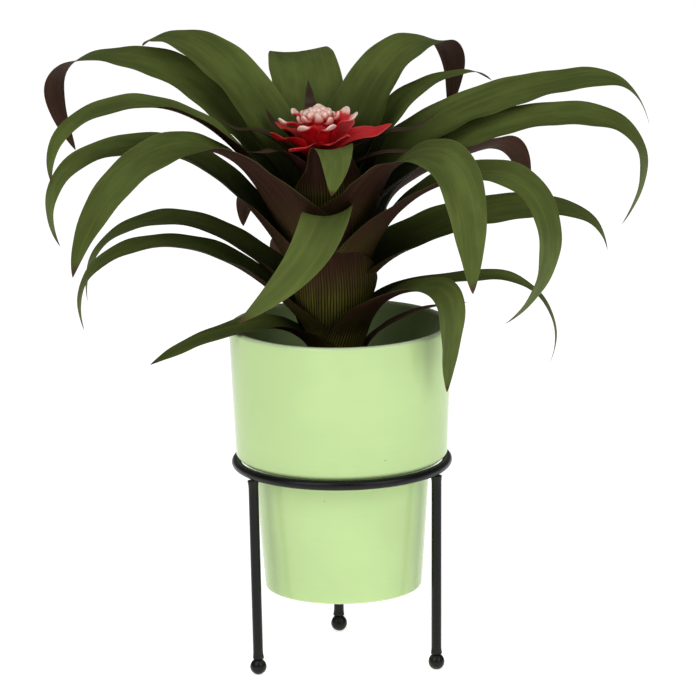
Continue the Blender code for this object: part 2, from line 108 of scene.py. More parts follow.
class PlantSettings(bpy.types.PropertyGroup):
    green: colour("Leaf green", "Upper side of a grown leaf", (0.086, 0.116, 0.027))
    # Deep green paints the shade on the leaves' upper sides towards the rosette's centre, and tints the
    # dark bracts.
    deep_green: colour("Deep green", "Upper side where the leaf is darkest", (0.036, 0.046, 0.009))
    maroon: colour("Maroon", "Under side of the leaves", (0.024, 0.010, 0.006))
    tan: colour("Tan", "Under side towards the tip", (0.075, 0.040, 0.028))
    olive: colour("Sheath olive", "Light stripes of the sheaths", (0.125, 0.118, 0.020))
    red: colour("Bract red", "Red bracts of the flower", (0.62, 0.004, 0.014))
    pink: colour("Tip cream", "Cream tips of the bracts and buds", (0.93, 0.70, 0.60))
    edge_wave: length("Edge wave", "How far a leaf's edges ripple", 0.7 * MM)
    leaf_thickness: length("Leaf thickness", "Thickness at the midrib", 0.8 * MM)


class PotSettings(bpy.types.PropertyGroup):
    glaze: colour("Glaze", "Pale green of the cover pot", (0.52, 0.705, 0.315))
    soil: colour("Soil", "Damp potting mix", (0.035, 0.020, 0.012))
    lump: length("Soil lumps", "Height of the soil's lumps", 1.6 * MM)


class StandSettings(bpy.types.PropertyGroup):
    paint: colour("Paint", "Satin black of the wire stand", (0.0030, 0.0036, 0.0030))
    weld: length("Weld", "How far the weld stands out of the rod", 0.55 * MM)


class StageSettings(bpy.types.PropertyGroup):
    floor: colour("Floor", "Pale studio floor", (0.92, 0.92, 0.91))
    elevation: FloatProperty(name="Camera elevation", description="Height of the view above level",
                             default=radians(13.3), subtype="ANGLE")
    distance: length("Camera distance", "From the camera to the middle of the object", 4.5)
    roll: FloatProperty(name="Camera roll", description="Tilt of the picture, left side down",
                        default=radians(0.8), subtype="ANGLE")
    light: FloatProperty(name="Key light", description="Power of the main softbox", default=40.0,
                         unit="POWER", min=0)


# ---------------------------------------------------------------- meshes from whole arrays

def turn(count):
    """The angles of a full turn in count equal steps."""
    return np.linspace(0, 2 * pi, count, endpoint=False)


def polar(r, a, z, axis=(0, 0)):
    """Points (r cos a, r sin a, z) round a vertical axis."""
    return np.stack(np.broadcast_arrays(axis[0] + r * np.cos(a), axis[1] + r * np.sin(a), z), -1)


def skin(rings, start=None, end=None):
    """Vertices and faces of rings of points joined in turn, each ring closed on itself. A start or
    end point closes that end as a pole; with neither, the last ring joins the first."""
    rows, around = rings.shape[:2]
    index = np.arange(rows * around).reshape(rows, around)
    if start is None and end is None:
        index = np.vstack([index, index[:1]])
    turned = np.roll(index, -1, axis=1)
    quads = np.stack([index[:-1], turned[:-1], turned[1:], index[1:]], -1).reshape(-1, 4)
    points, faces = rings.reshape(-1, 3), quads.tolist()
    for pole, ring, step in ((start, index[0], -1), (end, index[-1], 1)):
        if pole is not None:
            tip = np.full(around, len(points))
            points = np.vstack([points, pole])
            faces += np.stack([ring, np.roll(ring, -1), tip], 1)[:, ::step].tolist()
    return points, faces


def facing_out(points, faces):
    """The shape, with its faces turned over if the solid's signed volume is negative. The volume
    is the sum of the tetrahedra from the first point to every face's fan."""
    total = 0.0
    for size in (3, 4):
        flat = np.array([f for f in faces if len(f) == size], int).reshape(-1, size)
        for k in range(1, size - 1):
            a, b, c = (points[flat[:, n]] - points[0] for n in (0, k, k + 1))
            total += np.einsum("ij,ij->i", a, np.cross(b, c)).sum()
    return points, faces if total > 0 else [f[::-1] for f in faces]


def join(parts):
    """One (points, faces) of several."""
    points, faces, count = [], [], 0
    for p, f in parts:
        points.append(p)
        faces += (f if count == 0 else [[v + count for v in face] for face in f])
        count += len(p)
    return np.vstack(points), faces


def added(name, data):
    """A new object in the scene."""
    item = bpy.data.objects.new(name, data)
    bpy.context.scene.collection.objects.link(item)
    return item


def piece(name, shape, finish, nodes, facts=None, sharp=50):
    """A named mesh object that stands for CAD nodes, at the origin with its place in its mesh.
    facts are vectors kept on its points, which its finish reads."""
    points, faces = shape
    mesh = bpy.data.meshes.new(name)
    mesh.from_pydata(points.tolist(), [], faces)
    for label, values in (facts or {}).items():
        mesh.attributes.new(label, "FLOAT_VECTOR", "POINT").data.foreach_set(
            "vector", np.asarray(values, np.float32).ravel())
    mesh.materials.append(finish)
    mesh.shade_smooth()
    mesh.set_sharp_from_angle(angle=radians(sharp))
    item = added(name, mesh)
    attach(item, "root")
    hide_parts(*nodes)
    return item


def lattice(points, cell, seed):
    """Smooth noise from -1 to 1: a fixed random value at each corner of a cubic lattice, blended
    between the corners by 3t^2 - 2t^3 along each axis."""
    scaled = np.asarray(points, float) / cell
    base = np.floor(scaled).astype(np.int64)
    t = scaled - base
    t = t * t * (3 - 2 * t)
    total = 0.0
    for corner in np.ndindex(2, 2, 2):
        place = (base + corner) @ np.array([73856093, 19349663, 83492791]) + seed * 2654435761
        value = ((place ^ (place >> 13)) * 1274126177 & 0xFFFFFF) / 0x7FFFFF - 1
        total = total + value * np.prod(np.where(corner, t, 1 - t), axis=-1)
    return total


def rounded(corners, radii, steps=8):
    """The polyline with each inner corner replaced by an arc tangent to both its sides."""
    out = [corners[0]]
    for before, corner, after, radius in zip(corners, corners[1:], corners[2:], radii):
        a = (Vector(before) - Vector(corner)).normalized()
        b = (Vector(after) - Vector(corner)).normalized()
        half = a.angle(b) / 2
        centre = Vector(corner) + (a + b).normalized() * radius / sin(half)
        first = Vector(corner) + a * radius / tan(half) - centre
        last = Vector(corner) + b * radius / tan(half) - centre
        begin = atan2(first.y, first.x)
        sweep = (atan2(last.y, last.x) - begin + pi) % (2 * pi) - pi
        out += [(centre.x + radius * cos(begin + sweep * k / steps),
                 centre.y + radius * sin(begin + sweep * k / steps)) for k in range(steps + 1)]
    return out + [corners[-1]]


def filled(profile, longest):
    """The profile with its long straight runs divided, so that no step is longer than given."""
    out = [profile[0]]
    for a, b in zip(profile, profile[1:]):
        steps = max(1, int(np.hypot(b[0] - a[0], b[1] - a[1]) / longest))
        out += [(a[0] + (b[0] - a[0]) * k / steps, a[1] + (b[1] - a[1]) * k / steps)
                for k in range(1, steps + 1)]
    return out


def lathe(profile, sides, axis=(0, 0)):
    """Points (r cos a, r sin a, z) of a profile of (r, z) turned round a vertical axis. An end of
    the profile on the axis becomes a pole."""
    profile = np.array(profile)
    on_axis = profile[[0, -1], 0] < 1e-9
    ring = profile[int(on_axis[0]):len(profile) - int(on_axis[1])]
    poles = [np.array([*axis, profile[k, 1]]) if on else None for k, on in zip((0, -1), on_axis)]
    return facing_out(*skin(polar(ring[:, :1], turn(sides), ring[:, 1:], axis), *poles))


# ---------------------------------------------------------------- shader expressions

class Value:
    """An output of a material's node tree. Sums and products of values add their Math nodes."""

    def __init__(self, finish, socket):
        self.finish, self.socket = finish, socket

    def math(self, operation, *terms):
        return self.finish.node("Math", {"operation": operation}, dict(enumerate(terms)))

    def __add__(self, other):
        return self.math("ADD", self, other)

    def __mul__(self, other):
        return self.math("MULTIPLY", self, other)

    def __sub__(self, other):
        return self.math("SUBTRACT", self, other)

    def __rsub__(self, other):
        return self.math("SUBTRACT", other, self)

    def __abs__(self):
        return self.math("ABSOLUTE", self)

    __radd__, __rmul__ = __add__, __mul__

    def sine(self):
        return self.math("SINE", self)

    def upto(self, low, high):
        """0 below low, 1 above high, and smooth between."""
        return self.finish.node("MapRange", {"interpolation_type": "SMOOTHSTEP"},
                                {"Value": self, "From Min": low, "From Max": high})


class Finish:
    """A material. Its constants go straight on the shader's sockets, and node() adds any node."""

    def __init__(self, name, **constants):
        self.material = bpy.data.materials.new(name)
        self.material.use_nodes = True
        self.tree = self.material.node_tree
        self.shader = self.tree.nodes["Principled BSDF"]
        for socket, value in constants.items():
            self.shader.inputs[socket.replace("_", " ")].default_value = value

    def node(self, kind, settings, inputs, output=0):
        """Adds a node: first its settings, then its inputs by name or place, as values or links."""
        made = self.tree.nodes.new("ShaderNode" + kind)
        for setting, value in settings.items():
            setattr(made, setting, value)
        for place, value in inputs.items():
            self.feed(value, made.inputs[place])
        return Value(self, made.outputs[output])

    def feed(self, value, socket):
        if isinstance(value, Value):
            self.tree.links.new(value.socket, socket)
        else:
            socket.default_value = value

    def place(self):
        return self.node("TexCoord", {}, {}, "Object")

    def fact(self, name):
        """A vector kept on the piece's points, as its three values."""
        vector = self.node("Attribute", {"attribute_name": name}, {}, "Vector")
        return self.split(vector)

    def split(self, vector):
        first = self.node("SeparateXYZ", {}, {0: vector})
        return [Value(self, socket) for socket in first.socket.node.outputs]

    def vector(self, x, y, z):
        return self.node("CombineXYZ", {}, {0: x, 1: y, 2: z})

    def noise(self, vector, scale, detail=2.0, roughness=0.5):
        return self.node("TexNoise", {}, {"Vector": vector, "Scale": scale, "Detail": detail,
                                          "Roughness": roughness})

    def specks(self, vector, scale, size):
        """1 inside small round specks scattered about one to a cell, and 0 between them."""
        nearest = self.node("TexVoronoi", {}, {"Vector": vector, "Scale": scale})
        return 1 - nearest.upto(size * 0.6, size)

    def mix(self, share, first, second):
        """Colour first where share is 0 and second where it is 1."""
        first, second = (c if isinstance(c, Value) else (*c, 1.0) for c in (first, second))
        return self.node("Mix", {"data_type": "RGBA"}, {0: share, 6: first, 7: second}, 2)

    def surface(self, base, roughness=None, bump=None, depth=0.1 * MM):
        """Feeds the shader. depth is the height of a bump of 1."""
        self.feed(base, self.shader.inputs["Base Color"])
        if roughness is not None:
            self.feed(roughness, self.shader.inputs["Roughness"])
        if bump is not None:
            normal = self.node("Bump", {}, {"Height": bump, "Distance": depth})
            self.feed(normal, self.shader.inputs["Normal"])
        return self.material


def shade(base, factor):
    """A colour made lighter or darker, in numbers."""
    return tuple(min(1.0, c * factor) for c in base)


# ---------------------------------------------------------------- finishes

def leaf_finish(plant):
    """Upper side green with fine veins, deep green towards the throat as painted shade where the
    leaves crowd at the rosette's centre; under side maroon, tan at the tip, striped olive and
    brown on the sheath; pale edges as a painted highlight, and a dried brown tip."""
    f = Finish("bromeliad_leaf", Specular_IOR_Level=0.04)
    q, s, upper = f.fact("leaf_place")
    across, along, seed = f.fact("leaf_metric")
    vein = f.noise(f.vector(across * 1300, along * 16, seed * 9), 1.0, 2.0)
    streak = f.noise(f.vector(across * 330, along * 9, seed * 5 + 3), 1.0, 3.0)
    patch = f.noise(f.vector(across * 60, along * 22, seed * 3 + 7), 1.0, 3.0, 0.6)
    top = f.mix(patch.upto(0.35, 0.70), shade(plant.green, 0.82), shade(plant.green, 1.22))
    top = f.mix(streak.upto(0.45, 0.75) * 0.55, top, (0.125, 0.150, 0.034))
    top = f.mix(vein.upto(0.48, 0.80) * 0.30, top, shade(plant.green, 0.55))
    # Painted shade: the upper side darkens to deep green towards the throat, in the rosette's crowded
    # centre.
    throat = 1 - (s + patch * 0.12).upto(0.10, 0.52)
    top = f.mix(throat, top, f.mix(streak, plant.deep_green, shade(plant.deep_green, 0.6)))
    under = f.mix((s + patch * 0.2 - 0.1).upto(0.45, 1.0), plant.maroon, plant.tan)
    under = f.mix(streak.upto(0.40, 0.75) * 0.6, under, shade(plant.maroon, 2.1))
    under = f.mix(vein.upto(0.50, 0.75) * 0.5, under, shade(plant.maroon, 0.55))
    wobble = f.noise(f.vector(across * 200, along * 30, seed * 4), 1.0, 2.0)
    stripe = (across * 3500 + wobble * 6).sine().upto(-0.45, 0.85)
    sheath = f.mix(stripe, shade(plant.olive, 0.22), plant.olive)
    sheath = f.mix(patch.upto(0.35, 0.75) * 0.6, sheath, plant.maroon)
    under = f.mix(1 - (s + streak * 0.20).upto(-0.05, 0.30), under, sheath)
    body = f.mix(upper.upto(0.86, 0.97), under, top)
    # Painted highlight: a pale line along the blade's edges.
    edge = abs(q).upto(0.955, 1.0) * s.upto(0.0, 0.5) * 0.35
    body = f.mix(edge, body, (0.20, 0.18, 0.085))
    dry = (s + (patch - 0.5) * 0.10).upto(0.945, 0.985)
    body = f.mix(dry, body, f.mix(vein, (0.030, 0.016, 0.009), (0.11, 0.065, 0.035)))
    fleck = f.specks(f.place(), 420.0, 0.13) * (1 - upper)
    body = f.mix(fleck * 0.25, body, plant.tan)
    rough = 0.46 + vein * 0.12 + (1 - upper) * 0.20 + dry * 0.2
    bump = vein * 0.8 + stripe * (1 - s.upto(-0.05, 0.2)) * 0.9 + streak * 0.6
    return f.surface(body, rough, bump, 0.14 * MM)


def dry_finish(plant):
    """A shrivelled old leaf: brown, with darker lengthwise creases."""
    f = Finish("dried_leaf")
    across, along, seed = f.fact("leaf_metric")
    crease = f.noise(f.vector(across * 900, along * 30, seed), 1.0, 3.0)
    blot = f.noise(f.place(), 110.0, 3.0)
    body = f.mix(crease.upto(0.35, 0.70), (0.050, 0.027, 0.012), (0.19, 0.105, 0.048))
    body = f.mix(blot.upto(0.45, 0.70) * 0.6, body, shade(plant.olive, 0.8))
    return f.surface(body, 0.70 + crease * 0.2, crease, 0.5 * MM)


def maroon_finish(plant):
    """Pointed dark bracts: maroon to black-red, finely veined, with a thin paler edge."""
    f = Finish("maroon_bract", Specular_IOR_Level=0.2)
    q, s, upper = f.fact("leaf_place")
    across, along, seed = f.fact("leaf_metric")
    vein = f.noise(f.vector(across * 1700, along * 30, seed * 9), 1.0, 3.0)
    patch = f.noise(f.vector(across * 130, along * 40, seed * 3), 1.0, 2.0)
    body = f.mix(patch.upto(0.35, 0.70), (0.030, 0.012, 0.009), (0.070, 0.022, 0.017))
    body = f.mix(vein.upto(0.45, 0.75) * 0.5, body, (0.012, 0.008, 0.006))
    body = f.mix(upper * s.upto(0.0, 0.6) * 0.35, body, plant.deep_green)
    body = f.mix(abs(q).upto(0.88, 1.0) * 0.5, body, (0.15, 0.055, 0.04))
    return f.surface(body, 0.42 + vein * 0.15, vein, 0.12 * MM)


def petal_finish(name, plant, cream):
    """Red bracts, deeper at the foot, veined, and turning cream over the last part by cream."""
    f = Finish(name, Coat_Weight=0.12, Coat_Roughness=0.25, Roughness=0.38)
    q, s, _ = f.fact("leaf_place")
    across, along, seed = f.fact("leaf_metric")
    vein = f.noise(f.vector(across * 1900, along * 45, seed * 9), 1.0, 3.0)
    patch = f.noise(f.vector(across * 160, along * 120, seed * 3), 1.0, 2.0)
    body = f.mix(s.upto(0.0, 0.45), shade(plant.red, 0.5), plant.red)
    body = f.mix(patch.upto(0.40, 0.75) * 0.5, body, (0.78, 0.022, 0.022))
    body = f.mix(vein.upto(0.50, 0.78) * 0.35, body, (0.17, 0.006, 0.012))
    body = f.mix(abs(q).upto(0.84, 1.0) * s.upto(0.2, 0.8) * 0.45, body, (0.80, 0.22, 0.18))
    start = 0.99 - 0.27 * cream
    light = (s + (vein - 0.5) * 0.10 - abs(q) * 0.05).upto(start, start + 0.16)
    body = f.mix(light * (0.35 + 0.65 * cream), body, f.mix(vein * 0.3, plant.pink, (0.82, 0.38, 0.32)))
    return f.surface(body, 0.34 + vein * 0.14, vein * 0.8 + patch * 0.5, 0.12 * MM)


def bud_finish(plant):
    """Buds cream at the crown, pink down their sides and red in the gaps between them."""
    f = Finish("flower_bud", Coat_Weight=0.10, Coat_Roughness=0.3)
    height, fold, _ = f.fact("bud_place")
    grain = f.noise(f.place(), 900.0, 3.0)
    side = f.mix((height + (grain - 0.5) * 0.14).upto(0.48, 0.74), plant.red, (0.74, 0.26, 0.22))
    body = f.mix((height + (grain - 0.5) * 0.10).upto(0.70, 0.92), side, plant.pink)
    body = f.mix(height.upto(0.94, 1.0) * 0.45, body, (0.50, 0.22, 0.16))
    body = f.mix(fold.upto(0.55, 0.95) * 0.45, body, (0.62, 0.25, 0.21))
    return f.surface(body, 0.38 + grain * 0.15, grain, 0.10 * MM)


def stem_finish(plant):
    """Corky brown stem, ringed where old leaves came off."""
    f = Finish("stem_bark")
    z = f.split(f.place())[2]
    ring = (z * 1900 + f.noise(f.place(), 120.0) * 5).sine().upto(-0.2, 0.8)
    grain = f.noise(f.place(), 420.0, 3.0)
    body = f.mix(ring, shade(plant.maroon, 0.8), (0.105, 0.075, 0.030))
    body = f.mix(grain.upto(0.4, 0.7) * 0.5, body, (0.05, 0.03, 0.015))
    return f.surface(body, 0.75 + grain * 0.15, ring + grain, 0.25 * MM)


def glaze_finish(pot):
    """Glossy pale green glaze over fine throwing lines, lighter on the lip, partly for the thinner
    glaze there and partly as a painted highlight, with a few pin holes; a bare biscuit foot ring
    underneath."""
    f = Finish("pale_green_glaze", Coat_Roughness=0.05, Specular_IOR_Level=0.18)
    spot = f.place()
    lip, foot, _ = f.fact("pot_place")
    cloud = f.noise(spot, 18.0, 3.0, 0.55)
    peel = f.noise(spot, 260.0, 2.0)
    x, y, z = f.split(spot)
    turning = f.noise(f.vector(x * 6, y * 6, z * 900), 1.0, 2.0)
    body = f.mix(cloud.upto(0.30, 0.70), shade(pot.glaze, 0.965), shade(pot.glaze, 1.03))
    body = f.mix(turning.upto(0.4, 0.7) * 0.12, body, shade(pot.glaze, 0.93))
    # Lighter on the lip: partly the thinner glaze there, partly a painted highlight.
    body = f.mix(lip * 0.55, body, (0.76, 0.90, 0.62))
    pin = f.specks(spot, 62.0, 0.034)
    body = f.mix(pin * 0.75, body, (0.16, 0.20, 0.11))
    body = f.mix(foot, body, f.mix(peel, (0.70, 0.63, 0.52), (0.60, 0.52, 0.41)))
    rough = 0.10 + cloud * 0.05 + foot * 0.65 + pin * 0.4
    f.feed(lip * 0.9 + 0.06, f.shader.inputs["Coat Weight"])
    return f.surface(body, rough, peel * 0.35 + turning * 0.25 + cloud - pin * 1.5, 0.05 * MM)


def nursery_finish():
    """Black thin-walled plastic, matt, scuffed along its lip."""
    f = Finish("black_plastic", Roughness=0.5)
    scuff = f.noise(f.place(), 150.0, 4.0, 0.65)
    grain = f.noise(f.place(), 1500.0, 2.0)
    body = f.mix(scuff.upto(0.52, 0.75) * 0.6, (0.014, 0.014, 0.014), (0.055, 0.052, 0.048))
    return f.surface(body, 0.42 + scuff * 0.3, grain + scuff, 0.05 * MM)


def soil_finish(pot):
    """Damp peat with paler fibres, dark crumbs and a few white grains."""
    f = Finish("peat_soil")
    spot = f.place()
    crumb = f.noise(spot, 380.0, 5.0, 0.7)
    damp = f.noise(spot, 45.0, 3.0)
    x, y, z = f.split(spot)
    fibre = f.noise(f.vector(x * 260, y * 1500, z * 700), 1.0, 3.0, 0.6)
    body = f.mix(crumb.upto(0.30, 0.70), shade(pot.soil, 0.35), shade(pot.soil, 1.5))
    body = f.mix(damp.upto(0.4, 0.7) * 0.5, body, shade(pot.soil, 0.5))
    body = f.mix(fibre.upto(0.62, 0.78) * 0.7, body, (0.16, 0.095, 0.050))
    grit = f.specks(spot, 150.0, 0.16)
    body = f.mix(grit * crumb.upto(0.50, 0.60), body, (0.62, 0.60, 0.55))
    return f.surface(body, 0.82 + crumb * 0.15, crumb * 2 + fibre, 0.6 * MM)


def wire_finish(stand):
    """Satin black paint with a fine orange peel, duller and browner on the weld beads."""
    f = Finish("satin_black_wire", Specular_IOR_Level=0.22)
    spot = f.place()
    peel = f.noise(spot, 900.0, 2.0)
    wear = f.noise(spot, 130.0, 4.0, 0.6)
    weld = f.fact("weld_place")[0]
    body = f.mix(wear.upto(0.45, 0.75) * 0.5, stand.paint, shade(stand.paint, 2.2))
    body = f.mix(weld * 0.6, body, (0.022, 0.019, 0.016))
    scratch = f.specks(spot, 210.0, 0.05)
    body = f.mix(scratch * 0.5, body, (0.10, 0.10, 0.095))
    rough = 0.24 + wear * 0.10 + weld * 0.2
    return f.surface(body, rough, peel * 0.6 + wear * 0.6 + weld * wear * 3, 0.12 * MM)


def floor_finish(stage):
    """Pale painted studio floor with a faint mottle."""
    f = Finish("studio_floor", Emission_Color=(1, 1, 1, 1), Emission_Strength=0.74)
    mottle = f.noise(f.place(), 3.0, 4.0)
    body = f.mix(mottle, shade(stage.floor, 0.985), stage.floor)
    return f.surface(body, 0.55 + mottle * 0.1)


# ---------------------------------------------------------------- leaf shape

SHEATH_PITCH = 67.0                 # degrees above level, the same for every nested sheath
CHANNEL = 35.0                      # degrees the blade is folded up at each edge
ACROSS = 14                         # cells across a leaf
SHEATH_STATIONS, BLADE_STATIONS = 9, 76
LONG_WAVE, SHORT_WAVE = 62 * MM, 27 * MM        # of the ripples along a blade's edges


def ease(x):
    x = np.clip(x, 0, 1)
    return x * x * (3 - 2 * x)


def bezier(p0, p1, p2, p3, steps=60):
    t = np.linspace(0, 1, steps)[:, None]
    return (1 - t) ** 3 * p0 + 3 * (1 - t) ** 2 * t * p1 + 3 * (1 - t) * t ** 2 * p2 + t ** 3 * p3


def midrib(leaf):
    """The leaf's middle line in (r, z): a straight sheath up the nesting cone, a cubic curve to
    the level crest and another down to the tip, with the distance along it."""
    pitch, dive = radians(SHEATH_PITCH), radians(leaf["dive"])
    along, level = np.array([cos(pitch), sin(pitch)]), np.array([1.0, 0.0])
    falling = np.array([cos(dive), -sin(dive)])
    root = np.array([leaf["core"] + GAP + leaf["thickness"] / 2, leaf["root"] * MM])
    throat = root + along * leaf["sheath"] * MM
    crest, tip = np.array(leaf["crest"]) * MM, np.array(leaf["tip"]) * MM
    up, down = np.linalg.norm(crest - throat), np.linalg.norm(tip - crest)
    rising = bezier(throat, throat + along * up * leaf["rise"], crest - level * up * leaf["ease_in"], crest)
    drooping = bezier(crest, crest + level * down * leaf["arch"], tip - falling * down * leaf["fall"], tip)
    points = np.concatenate([[root], rising, drooping[1:]])
    steps = np.linalg.norm(np.diff(points, axis=0), axis=1)
    return points, np.concatenate([[0], np.cumsum(steps)])


def leaf_sheet(leaf):
    """Middle sheet P(t, q) of a leaf, t along and q from -1 to 1 across, with its normals and half
    thickness. The section is an arc of angle reach(t) * q * bend(t) in the plane square to the
    midrib: round the stem in the sheath, opening to a shallow channel along the blade. The blade
    rolls by tilt and twist, swings by sway * x^3, and its edges ripple by two slow sine waves."""
    path, travel = midrib(leaf)
    total = travel[-1]
    share = leaf["sheath"] * MM / total
    blade = 1 - (1 - np.linspace(0, 1, BLADE_STATIONS + 1)) ** 1.25
    sheath = np.linspace(0, share, SHEATH_STATIONS, endpoint=False)
    t = np.concatenate([sheath, share + (1 - share) * blade])
    r, z = np.interp(t * total, travel, path[:, 0]), np.interp(t * total, travel, path[:, 1])
    x = np.clip((t - share) / (1 - share), 0, 1)
    centre = np.stack([r, leaf["sway"] * MM * x ** 3, z], 1)
    fine = np.linspace(0, 1, 241)
    fine_x = np.clip((fine - share) / (1 - share), 0, 1)
    fine_centre = np.stack([np.interp(fine * total, travel, path[:, 0]), leaf["sway"] * MM * fine_x ** 3,
                            np.interp(fine * total, travel, path[:, 1])], 1)
    fine_tangent = np.gradient(fine_centre, axis=0)
    tangent = np.stack([np.interp(t, fine, fine_tangent[:, k]) for k in range(3)], 1)
    tangent /= np.linalg.norm(tangent, axis=1, keepdims=True)
    opened = ease((t - share * 0.85) / 0.25)
    side = np.array([0, 1, 0]) - tangent[:, 1:2] * tangent
    side /= np.linalg.norm(side, axis=1, keepdims=True)
    normal = np.cross(tangent, side)
    normal = (1 - opened)[:, None] * np.array([-1, 0, 0]) + opened[:, None] * normal
    normal /= np.linalg.norm(normal, axis=1, keepdims=True)
    roll = radians(leaf["tilt"]) * ease(x / 0.35) + radians(leaf["twist"]) * ease((x - 0.45) / 0.55)
    c, s = np.cos(roll)[:, None], np.sin(roll)[:, None]
    side, normal = side * c + normal * s, normal * c - side * s
    half = leaf["width"] * MM / 2
    outline = np.clip(1 - x ** leaf["taper"], 0, 1) ** leaf["blunt"] * (1 - leaf["narrowing"] * x)
    free = ease(x / 0.20)
    limit = (1 - free) * radians(max(leaf["wrap"], leaf["spread"])) + free * radians(leaf["spread"])
    clasping = np.minimum(radians(leaf["wrap"]) * r, half * leaf["clasp"])
    reach = (1 - opened) * clasping + opened * half * outline
    reach = np.minimum(reach, limit * r)
    fold = radians(leaf["channel"]) * (1 - 0.8 * ease((x - 0.3) / 0.7))
    bend = ((1 - opened) / r + opened * fold / half)[:, None]
    q = np.linspace(-1, 1, ACROSS + 1)
    angle = reach[:, None] * q * bend
    sheet = (centre[:, None] + side[:, None] * (np.sin(angle) / bend)[..., None]
             + normal[:, None] * ((1 - np.cos(angle)) / bend)[..., None])
    sheet_normal = -np.sin(angle)[..., None] * side[:, None] + np.cos(angle)[..., None] * normal[:, None]
    phase = leaf["seed"] * 2.4 + np.sign(q) * 1.1
    turns = 2 * pi * total * t[:, None]
    swing = np.sin(turns / LONG_WAVE + phase) + 0.6 * np.sin(turns / SHORT_WAVE + 2 * phase)
    share_rippled = ease(x / 0.3) * ease((1 - x) / 0.12) * np.clip(outline, 0, 1)
    ripple = leaf["wave"] * swing * np.abs(q) ** 3 * share_rippled[:, None]
    crease = -leaf["crease"] * np.exp(-(q / 0.10) ** 2) * (opened * np.clip(outline, 0, 1))[:, None]
    sheet = sheet + sheet_normal * (ripple + crease)[..., None]
    thick = leaf["thickness"] / 2 * (1 - q ** 4) ** 0.5 * np.sqrt(np.clip(outline, 0, 1))[:, None]
    thick = thick * (1 + leaf["flesh"] * ease((x - 0.4) / 0.5))[:, None]
    along_blade = np.where(t < share, t / share - 1, x)
    metric = np.stack(np.broadcast_arrays(reach[:, None] * q, (t * total)[:, None], leaf["seed"]), -1)
    where = np.stack(np.broadcast_arrays(q, along_blade[:, None], 1.0), -1)
    return sheet, sheet_normal, thick, where, metric


def leaf_skin(leaf):
    """The closed blade: the sheet pushed both ways along its normals by the half thickness, which
    falls to nothing at the edges, with a pole at the foot and one at the tip."""
    sheet, normal, thick, where, metric = leaf_sheet(leaf)
    upper, lower = sheet + normal * thick[..., None], sheet - normal * thick[..., None]
    below = where * [1, 1, 0]

    def ring(top, bottom):
        return np.concatenate([top, bottom[:, -2:0:-1]], axis=1)

    middle = ACROSS // 2
    poles = [sheet[0, middle], sheet[-1, middle]]
    points, faces = skin(ring(upper, lower)[:-1], *poles)
    facts = {}
    for label, top, bottom in (("leaf_place", where, below), ("leaf_metric", metric, metric)):
        rows = ring(top, bottom)[:-1].reshape(-1, 3)
        facts[label] = np.vstack([rows, top[0, middle], top[-1, middle]])
    return within_box(plant_place(points, leaf["azimuth"])), faces, facts


def within_box(points):
    """The points drawn in towards the stand's axis, in proportion, where they pass the CAD's box."""
    points = points.copy()
    for k in range(2):
        flat = points[:, k] - STAND_AXIS[k]
        limits = CAD_BOX[:, k] - STAND_AXIS[k]
        for side in (np.minimum, np.maximum):
            limit, reach = (limits[0], flat.min()) if side is np.minimum else (limits[1], flat.max())
            if abs(reach) > abs(limit):
                flat = np.where(flat * limit > 0, flat * limit / reach, flat)
        points[:, k] = flat + STAND_AXIS[k]
    return points


def plant_place(points, azimuth):
    """Turns points round the stem, leans them with it and stands them on the soil."""
    lean = Matrix.Rotation(radians(-STEM_LEAN), 3, "Y") @ Matrix.Rotation(radians(azimuth), 3, "Z")
    return points @ np.array(lean).T + [*STAND_AXIS, SOIL_HEIGHT]


def leaf(name, azimuth, root, sheath, crest, tip, dive, width, **habit):
    """One leaf's growth. Millimetres and degrees: root is the height of its foot on the stem,
    crest and tip are (r, z), and dive is how steeply the tip points down."""
    usual = dict(tilt=0, twist=0, sway=0, rise=0.2, ease_in=0.45, arch=0.5, fall=0.4, taper=3.0,
                 blunt=0.8, narrowing=0.0, wrap=78, clasp=1.9, spread=180, core=STEM_RADIUS,
                 channel=CHANNEL, thickness=0.8 * MM, wave=0.0, crease=0.15 * MM, flesh=0.0,
                 seed=root % 17 + azimuth / 360)
    return dict(usual, name=name, azimuth=azimuth, root=root, sheath=sheath, crest=crest, tip=tip,
                dive=dive, width=width) | habit


RIM_RADIUS = box_radius("cover_pot") / MM
RIM_ABOVE_SOIL = (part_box("cover_pot")[1].z - SOIL_HEIGHT) / MM


def over_rim(out, up):
    """A point (r, z) of a leaf that passes over the pot's rim, measured from the rim."""
    return RIM_RADIUS + out, RIM_ABOVE_SOIL + up


